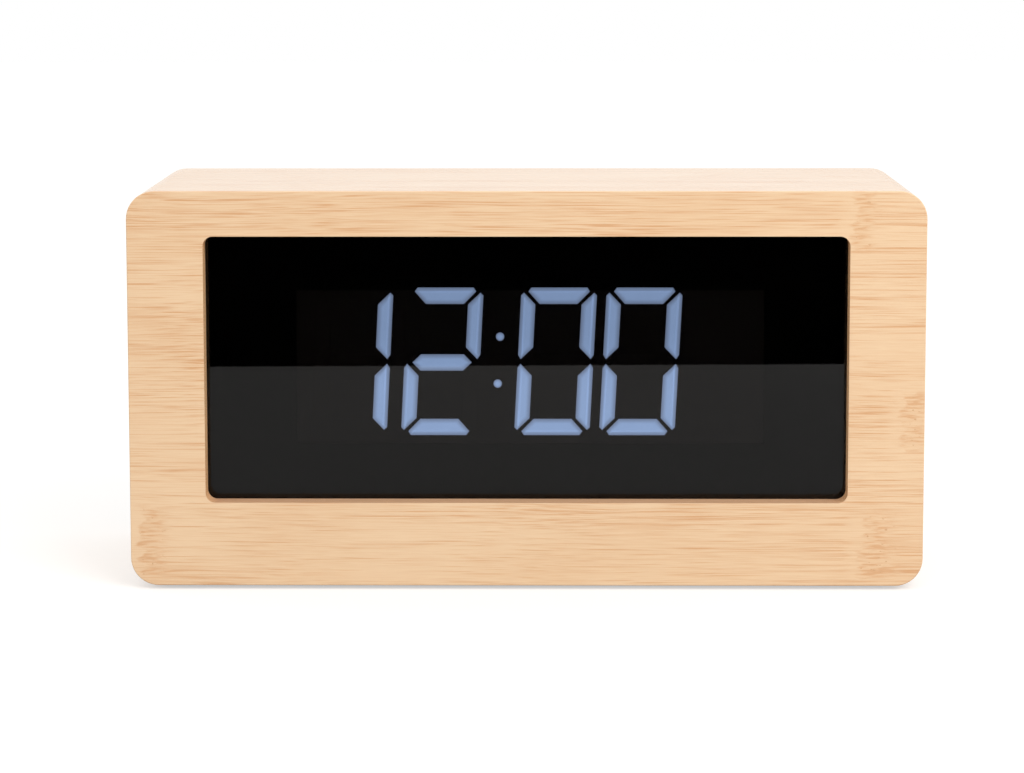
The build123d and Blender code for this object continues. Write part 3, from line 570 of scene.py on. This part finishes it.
# Finishes: a name, two near tones and a roughness, and what sets one apart
bamboo_level = make_bamboo("bamboo_level")
bamboo_upright = make_bamboo("bamboo_upright", upright=True)
bamboo_cut = make_bamboo_cut()
lens_acrylic = make_lens()
lit_resin = make_glow()
dark_resin = make_display_face("dark_resin")
reflector_paint = make_display_face("reflector_paint")
frame_plastic = make_moulded(
    "frame_plastic",
    (0.010, 0.010, 0.010),
    (0.015, 0.015, 0.015),
    0.75,
    relief=0.01 * MM,
    worn=1.0,
    dusty=0.0,
    Specular_IOR_Level=DISPLAY_GLOSS,
)
black_tape = make_moulded(
    "black_tape", (0.004, 0.004, 0.004), (0.009, 0.009, 0.009), 0.85, relief=0.05 * MM
)
black_plastic = make_moulded(
    "black_plastic", (0.014, 0.014, 0.015), (0.024, 0.024, 0.025), 0.52, relief=0.04 * MM
)
foot_rubber = make_moulded(
    "foot_rubber", (0.010, 0.010, 0.010), (0.020, 0.020, 0.019), 0.80, relief=0.05 * MM
)
button_plastic = make_moulded(
    "button_plastic", (0.045, 0.045, 0.048), (0.062, 0.062, 0.065), 0.42, relief=0.02 * MM
)
switch_plastic = make_moulded("switch_plastic", (0.010, 0.010, 0.011), (0.018, 0.018, 0.019), 0.45)
plunger_plastic = make_moulded("plunger_plastic", (0.42, 0.40, 0.34), (0.50, 0.48, 0.42), 0.45)
connector_plastic = make_moulded(
    "connector_plastic", (0.62, 0.60, 0.52), (0.70, 0.68, 0.60), 0.50, worn=1.1
)
ribbon_plastic = make_moulded("ribbon_plastic", (0.20, 0.21, 0.23), (0.28, 0.29, 0.31), 0.50)
lamp_resin = make_moulded("lamp_resin", (0.66, 0.64, 0.52), (0.74, 0.72, 0.60), 0.35, worn=1.1)
icon_paint = make_moulded("icon_paint", (0.66, 0.66, 0.65), (0.76, 0.76, 0.75), 0.50, worn=1.1, dusty=0.0)
cell_jacket = make_moulded(
    "cell_jacket", (0.030, 0.150, 0.120), (0.040, 0.185, 0.150), 0.35, relief=0.01 * MM
)
steel = make_brushed("plated_steel", (0.46, 0.46, 0.45), (0.62, 0.62, 0.61), 0.30)
dark_steel = make_brushed("blackened_steel", (0.060, 0.060, 0.062), (0.105, 0.105, 0.108), 0.38)
solder_mask = make_circuit_board()

finishes = (
    (bamboo_level, ["front_panel", "top_board", "bottom_board", "corner_blocks"]),
    (bamboo_upright, ["left_board", "right_board"]),
    (lens_acrylic, ["lens"]),
    (black_tape, ["lens_tape"]),
    (frame_plastic, ["display_frame"]),
    (black_plastic, ["rear_cover", "buzzer", "controller_chip"]),
    (reflector_paint, ["segment_reflector"]),
    (dark_resin, [name for name in nodes if name.endswith("_dark_segments")]),
    (solder_mask, ["display_board", "main_board"]),
    (lamp_resin, ["segment_leds"]),
    (steel, ["frame_screws", "display_board_screws", "main_board_screws", "power_socket"]),
    (steel, ["positive_contacts", "negative_contacts", "clock_crystal", "capacitor"]),
    (switch_plastic, ["switch_bodies", "socket_tongue"]),
    (plunger_plastic, [name for name in nodes if name.endswith("_plunger")]),
    (connector_plastic, ["display_connector", "main_connector"]),
    (ribbon_plastic, ["ribbon_cable"]),
)


def dress(item, finish):
    """Gives a piece or node one finish all over."""
    item.data.materials.clear()
    item.data.materials.append(finish)


for finish, names in finishes:
    for name in names:
        dress(nodes[name], finish)

# Ledges and jambs of the window take their own finish, with painted shading by face direction, after the
# panel's first
CUT_INDEX = 1
panel_mesh = nodes["front_panel"].data
panel_mesh.materials.append(bamboo_cut)
for face in panel_mesh.polygons:
    beside = abs(face.center.x) < window_half_width + EDGE_MARGIN
    level = abs(face.center.z - window_mid_z) < window_half_height + EDGE_MARGIN
    behind = face.center.y > cad_bounds[0].y + EDGE_MARGIN
    if beside and level and behind:
        face.material_index = CUT_INDEX


def new_piece(name, mesh, body, finish, replaced=()):
    """Turns a bmesh into a piece that rides on a body, stands in for nodes and has a finish."""
    data = bpy.data.meshes.new(name)
    mesh.to_mesh(data)
    mesh.free()
    piece = bpy.data.objects.new(name, data)
    bpy.context.scene.collection.objects.link(piece)
    dress(piece, finish)
    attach(piece, body)
    if replaced:
        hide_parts(*replaced)
    return piece


def settle(piece):
    """Applies a piece's modifiers to its mesh, and shades it smooth except across sharp edges."""
    graph = bpy.context.evaluated_depsgraph_get()
    settled = bpy.data.meshes.new_from_object(piece.evaluated_get(graph))
    piece.modifiers.clear()
    piece.data = settled
    settled.shade_smooth()
    settled.set_sharp_from_angle(angle=SHARP)


def welded_copy(name):
    """A node's mesh with its triangles joined up again into whole faces."""
    mesh = bmesh.new()
    mesh.from_mesh(nodes[name].data)
    bmesh.ops.remove_doubles(mesh, verts=mesh.verts, dist=WELD)
    bmesh.ops.dissolve_limit(mesh, angle_limit=FLAT, verts=mesh.verts, edges=mesh.edges)
    mesh.normal_update()
    return mesh


def round_edges(piece, width, segments=3):
    """Rounds a piece's edges over, by a width."""
    rounding = piece.modifiers.new("rounding", "BEVEL")
    rounding.width = width
    rounding.segments = segments
    rounding.limit_method = "ANGLE"
    rounding.angle_limit = SHARP
    settle(piece)


# Lit segments: a border round each face, where the glow falls off
SEGMENT_BORDER = 1.3 * MM
DOT_BORDER = 0.6 * MM


def make_lit_pieces(name, border):
    """Copies lit segments, with a glow value of 1 inside the border of each face and 0 at its rim."""
    mesh = welded_copy(name)
    glow = mesh.verts.layers.float.new("glow")
    faces = [face for face in mesh.faces if face.normal.y < -math.cos(FLAT)]
    bmesh.ops.inset_individual(mesh, faces=faces, thickness=border, depth=0)
    for face in faces:
        for vert in face.verts:
            vert[glow] = 1.0
    new_piece(name + "_glow", mesh, "case", lit_resin, [name])


for name in list(nodes):
    if name.endswith("_lit_segments"):
        make_lit_pieces(name, SEGMENT_BORDER)
make_lit_pieces("colon_dots", DOT_BORDER)


# Moulded pieces with their edges rounded over
FOOT_ROUNDING = 0.25 * MM
DOOR_ROUNDING = 0.2 * MM
CAP_ROUNDING = 0.25 * MM
GRIP_ROUNDING = 0.25 * MM
feet = new_piece("feet", welded_copy("rubber_feet"), "case", foot_rubber, ["rubber_feet"])
round_edges(feet, FOOT_ROUNDING)
door = new_piece(
    "door", welded_copy("battery_door"), "battery_door", black_plastic, ["battery_door"]
)
round_edges(door, DOOR_ROUNDING)
button_uses = ("mode", "alarm", "up", "down", "light")
for use in button_uses:
    name = use + "_button"
    cap = new_piece(use + "_cap", welded_copy(name), name, button_plastic, [name])
    round_edges(cap, CAP_ROUNDING)


# Signs printed on the caps
SIGN_REACH = 1.25 * MM
SIGN_DEPTH = 0.06 * MM
RAY_NOTCH = 0.55


def star_points(count, outer, inner, start):
    """Points round a circle, in turn on an outer and an inner radius."""
    points = []
    for i in range(2 * count):
        angle = start + math.pi * i / count
        radius = inner if i % 2 else outer
        points.append((radius * math.cos(angle), radius * math.sin(angle)))
    return points


up_start = math.pi / 2
triangle_inner = SIGN_REACH / 2
signs = {
    "mode": star_points(4, SIGN_REACH, SIGN_REACH * math.cos(math.pi / 4), up_start),
    "alarm": star_points(12, SIGN_REACH, SIGN_REACH, up_start),
    "up": star_points(3, SIGN_REACH, triangle_inner, up_start),
    "down": star_points(3, SIGN_REACH, triangle_inner, -up_start),
    "light": star_points(8, SIGN_REACH, SIGN_REACH * RAY_NOTCH, up_start),
}
for use in button_uses:
    low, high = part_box(use + "_button")
    middle = (low + high) / 2
    mesh = bmesh.new()
    outline = [mesh.verts.new((middle.x + x, high.y, middle.z + z)) for x, z in reversed(signs[use])]
    face = mesh.faces.new(outline)
    grown = bmesh.ops.extrude_face_region(mesh, geom=[face])["geom"]
    bmesh.ops.translate(
        mesh, vec=(0, SIGN_DEPTH, 0), verts=[item for item in grown if isinstance(item, bmesh.types.BMVert)]
    )
    bmesh.ops.recalc_face_normals(mesh, faces=mesh.faces)
    new_piece(use + "_sign", mesh, use + "_button", icon_paint)


# Turned pieces
TURN_STEPS = 48


def lathe(mesh, profile, placing):
    """Adds a turned form: (radius, height, finish index) points swept round the placing's Z axis."""
    rings = []
    for radius, height, _ in profile:
        angles = [2 * math.pi * i / TURN_STEPS for i in range(TURN_STEPS if radius else 1)]
        points = [Vector((radius * math.cos(a), radius * math.sin(a), height)) for a in angles]
        rings.append([mesh.verts.new(placing @ point) for point in points])
    for low, high, (_, _, index) in zip(rings, rings[1:], profile[1:]):
        for i in range(TURN_STEPS):
            j = (i + 1) % TURN_STEPS
            corners = (low[i % len(low)], low[j % len(low)], high[j % len(high)], high[i % len(high)])
            face = mesh.faces.new(list(dict.fromkeys(corners)))
            face.material_index = index
            face.smooth = True


def rounded_corner(radius, height, size, index, count=6):
    """Points of a quarter round that ends a turned form at the radius and height."""
    return [
        (radius - size + size * math.cos(a), height - size + size * math.sin(a), index)
        for a in [math.pi / 2 * i / count for i in range(count + 1)]
    ]


# Cells: jacket, steel ends and a nub
CELL_NUB_RADIUS = 1.9 * MM
CELL_NUB_LENGTH = 1.0 * MM
CELL_CAP_RADIUS = 4.2 * MM
CELL_SHOULDER = 0.5 * MM
CELL_LIP = 0.1 * MM
CELL_NUB_ROUNDING = 0.3 * MM
CELL_COUNT = 3
cells_low, cells_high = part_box("cells")
cell_radius = (cells_high.y - cells_low.y) / 2
cell_step = (cells_high.z - cells_low.z - 2 * cell_radius) / (CELL_COUNT - 1)
cell_length = cells_high.x - cells_low.x - CELL_NUB_LENGTH
jacket, metal = 0, 1
cell_profile = (
    [(0, 0, metal), (CELL_CAP_RADIUS, 0, metal), (cell_radius - CELL_SHOULDER, CELL_LIP, jacket)]
    + [(cell_radius, CELL_SHOULDER, jacket)]
    + rounded_corner(cell_radius, cell_length, CELL_SHOULDER, jacket)
    + [(CELL_CAP_RADIUS, cell_length - CELL_LIP, jacket), (CELL_NUB_RADIUS, cell_length - CELL_LIP, metal)]
    + rounded_corner(CELL_NUB_RADIUS, cell_length + CELL_NUB_LENGTH, CELL_NUB_ROUNDING, metal)
    + [(0, cell_length + CELL_NUB_LENGTH, metal)]
)
mesh = bmesh.new()
for row in range(CELL_COUNT):
    facing = 1 if row % 2 else -1
    base = Vector((
        cells_low.x if facing == 1 else cells_high.x,
        cells_low.y + cell_radius,
        cells_low.z + cell_radius + row * cell_step,
    ))
    lathe(mesh, cell_profile, Matrix.Translation(base) @ Matrix.Rotation(facing * math.pi / 2, 4, "Y"))
cell_piece = new_piece("cells_dressed", mesh, "case", cell_jacket, ["cells"])
cell_piece.data.materials.append(steel)

# Cover screws: domed heads with a cross recess
SCREW_HEAD_RADIUS = 2.1 * MM
SCREW_SHANK_RADIUS = 1.1 * MM
SCREW_HEAD_HEIGHT = 1.5 * MM
SCREW_DOME = 0.7 * MM
SCREW_POINT = 0.8 * MM
SCREW_TURN = 0.3
RECESS_LENGTH = 2.4 * MM
RECESS_WIDTH = 0.6 * MM
RECESS_DEPTH = 0.9 * MM
screws_low, screws_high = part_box("cover_screws")
screw_length = screws_high.y - screws_low.y
screw_profile = (
    [(0, 0, 0), (SCREW_SHANK_RADIUS, SCREW_POINT, 0)]
    + [(radius, screw_length - SCREW_HEAD_HEIGHT, 0) for radius in (SCREW_SHANK_RADIUS, SCREW_HEAD_RADIUS)]
    + rounded_corner(SCREW_HEAD_RADIUS, screw_length, SCREW_DOME, 0)
    + [(0, screw_length, 0)]
)
mesh = bmesh.new()
recess = bmesh.new()
for x in (screws_low.x + SCREW_HEAD_RADIUS, screws_high.x - SCREW_HEAD_RADIUS):
    for z in (screws_low.z + SCREW_HEAD_RADIUS, screws_high.z - SCREW_HEAD_RADIUS):
        tip = Matrix.Translation((x, screws_low.y, z)) @ Matrix.Rotation(-math.pi / 2, 4, "X")
        lathe(mesh, screw_profile, tip)
        for turn in (SCREW_TURN, SCREW_TURN + math.pi / 2):
            cutter = tip @ Matrix.Translation((0, 0, screw_length)) @ Matrix.Rotation(turn, 4, "Z")
            cutter = cutter @ Matrix.Diagonal((RECESS_LENGTH, RECESS_WIDTH, 2 * RECESS_DEPTH, 1))
            bmesh.ops.create_cube(recess, size=1.0, matrix=cutter)
bmesh.ops.recalc_face_normals(mesh, faces=mesh.faces)
screw_piece = new_piece("screws_dressed", mesh, "case", dark_steel, ["cover_screws"])
recess_data = bpy.data.meshes.new("recess")
recess.to_mesh(recess_data)
recess.free()
recess_tool = bpy.data.objects.new("recess", recess_data)
bpy.context.scene.collection.objects.link(recess_tool)
cut = screw_piece.modifiers.new("recess", "BOOLEAN")
cut.object = recess_tool
cut.solver = "EXACT"
cut.use_self = True
settle(screw_piece)
bpy.data.objects.remove(recess_tool)

# Grip ribs on the battery door
GRIP_COUNT = 3
GRIP_LENGTH = 14 * MM
GRIP_WIDTH = 0.9 * MM
GRIP_HEIGHT = 0.35 * MM
GRIP_PITCH = 2.2 * MM
GRIP_DROP = 5.0 * MM
door_low, door_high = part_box("battery_door")
grip_shape = Matrix.Diagonal((GRIP_LENGTH, 2 * GRIP_HEIGHT, GRIP_WIDTH, 1))
mesh = bmesh.new()
for i in range(GRIP_COUNT):
    place = Matrix.Translation((0, door_high.y, door_high.z - GRIP_DROP - i * GRIP_PITCH))
    bmesh.ops.create_cube(mesh, size=1.0, matrix=place @ grip_shape)
grips = new_piece("door_grips", mesh, "battery_door", black_plastic)
round_edges(grips, GRIP_ROUNDING)


# Floor, dark card that the lens mirrors, lamp and world
WHITE = (1.0, 1.0, 1.0)
FLOOR_SIZE = 6.0
FLOOR_DARK = (0.571, 0.557, 0.541)
FLOOR_LIGHT = (0.591, 0.577, 0.561)
FLOOR_MOTTLE_SCALE = (6, 6, 6)
FLOOR_ROUGHNESS = 0.9
FLOOR_LIFT = 0.52
CARD_LIGHT = (0.002, 0.002, 0.002)
CARD_MOTTLE_SCALE = (40, 40, 40)
CARD_Y = -0.436
CARD_SIZE = (0.6, 0.10)
CARD_TURN = math.radians(-1.9)
AMBIENT = 0.90
KEY_POWER = 5.0
KEY_SIZE = 0.6
KEY_PLACE = Vector((0.50, -0.80, 0.65))


def make_stage_plane(name, size, placing, finish):
    """A flat sheet of a size, set as the placing says."""
    mesh = bmesh.new()
    sized = placing @ Matrix.Diagonal((*size, 1, 1))
    bmesh.ops.create_grid(mesh, x_segments=1, y_segments=1, size=0.5, matrix=sized)
    data = bpy.data.meshes.new(name)
    mesh.to_mesh(data)
    mesh.free()
    plane = bpy.data.objects.new(name, data)
    bpy.context.scene.collection.objects.link(plane)
    dress(plane, finish)
    return plane


def make_floor():
    """Pale matt floor, lifted to white for what the camera sees, with its shadow kept."""
    made, tree, shader = new_material("pale_floor", Roughness=FLOOR_ROUGHNESS, Specular_IOR_Level=0.0)
    mottle = tree.noise(tree.place(), FLOOR_MOTTLE_SCALE, detail=2)
    tree.feed(shader["Base Color"], tree.mix(mottle, FLOOR_DARK, FLOOR_LIGHT))
    rays = tree.node("ShaderNodeLightPath").outputs
    seen = tree.maths("MAXIMUM", rays["Is Camera Ray"], rays["Is Transmission Ray"])
    tree.feed(shader["Emission Color"], WHITE)
    tree.feed(shader["Emission Strength"], tree.maths("MULTIPLY", seen, FLOOR_LIFT))
    return made


def make_card():
    """Black card, almost without gloss."""
    made, tree, shader = new_material("black_card", Roughness=1.0, Specular_IOR_Level=0.0)
    mottle = tree.noise(tree.place(), CARD_MOTTLE_SCALE)
    tree.feed(shader["Base Color"], tree.mix(mottle, BLACK, CARD_LIGHT))
    return made


make_stage_plane("floor", (FLOOR_SIZE, FLOOR_SIZE), Matrix.Identity(4), make_floor())
standing = Matrix.Rotation(CARD_TURN, 4, "Z") @ Matrix.Rotation(math.pi / 2, 4, "X")
standing = Matrix.Translation((0, CARD_Y, CARD_SIZE[1] / 2)) @ standing
card = make_stage_plane("card", CARD_SIZE, standing, make_card())
card.visible_camera = False
card.visible_diffuse = False
card.visible_shadow = False

scene = bpy.context.scene
scene.view_settings.view_transform = "Standard"
scene.world = bpy.data.worlds.new("studio")
scene.world.use_nodes = True
sky = Tree(scene.world.node_tree)
background = scene.world.node_tree.nodes["Background"]
rays = sky.node("ShaderNodeLightPath").outputs
seen = sky.maths("MAXIMUM", rays["Is Camera Ray"], rays["Is Transmission Ray"])
seen = sky.maths("MAXIMUM", seen, rays["Is Glossy Ray"])
sky.feed(background.inputs["Color"], WHITE)
sky.feed(background.inputs["Strength"], sky.blend(seen, AMBIENT, 1.0))

lamp_data = bpy.data.lights.new("key", "AREA")
lamp_data.energy = KEY_POWER
lamp_data.size = KEY_SIZE
lamp = bpy.data.objects.new("key", lamp_data)
lamp.visible_glossy = False
case_middle = (cad_bounds[0] + cad_bounds[1]) / 2
aim = (KEY_PLACE - case_middle).to_track_quat("Z", "Y").to_matrix().to_4x4()
lamp.matrix_world = Matrix.Translation(KEY_PLACE) @ aim
scene.collection.objects.link(lamp)

# Camera, fitted to the front face's outline
CAMERA_PLACE = (5.72 * MM, -834.63 * MM, 167.90 * MM)
CAMERA_YAW = math.radians(0.666)
CAMERA_TILT = math.radians(90 - 6.854)
CAMERA_ROLL = math.radians(-0.067)
SENSOR_WIDTH = 36.0
FOCAL_LENGTH = 112.81
FRAME_SHIFT = -0.0781

camera_data = bpy.data.cameras.new("camera")
camera_data.sensor_width = SENSOR_WIDTH
camera_data.lens = FOCAL_LENGTH
camera_data.shift_y = FRAME_SHIFT
camera = bpy.data.objects.new("camera", camera_data)
turns = Matrix.Rotation(CAMERA_TILT, 4, "X") @ Matrix.Rotation(CAMERA_ROLL, 4, "Z")
turns = Matrix.Rotation(CAMERA_YAW, 4, "Z") @ turns
camera.matrix_world = Matrix.Translation(CAMERA_PLACE) @ turns
scene.collection.objects.link(camera)
scene.camera = camera
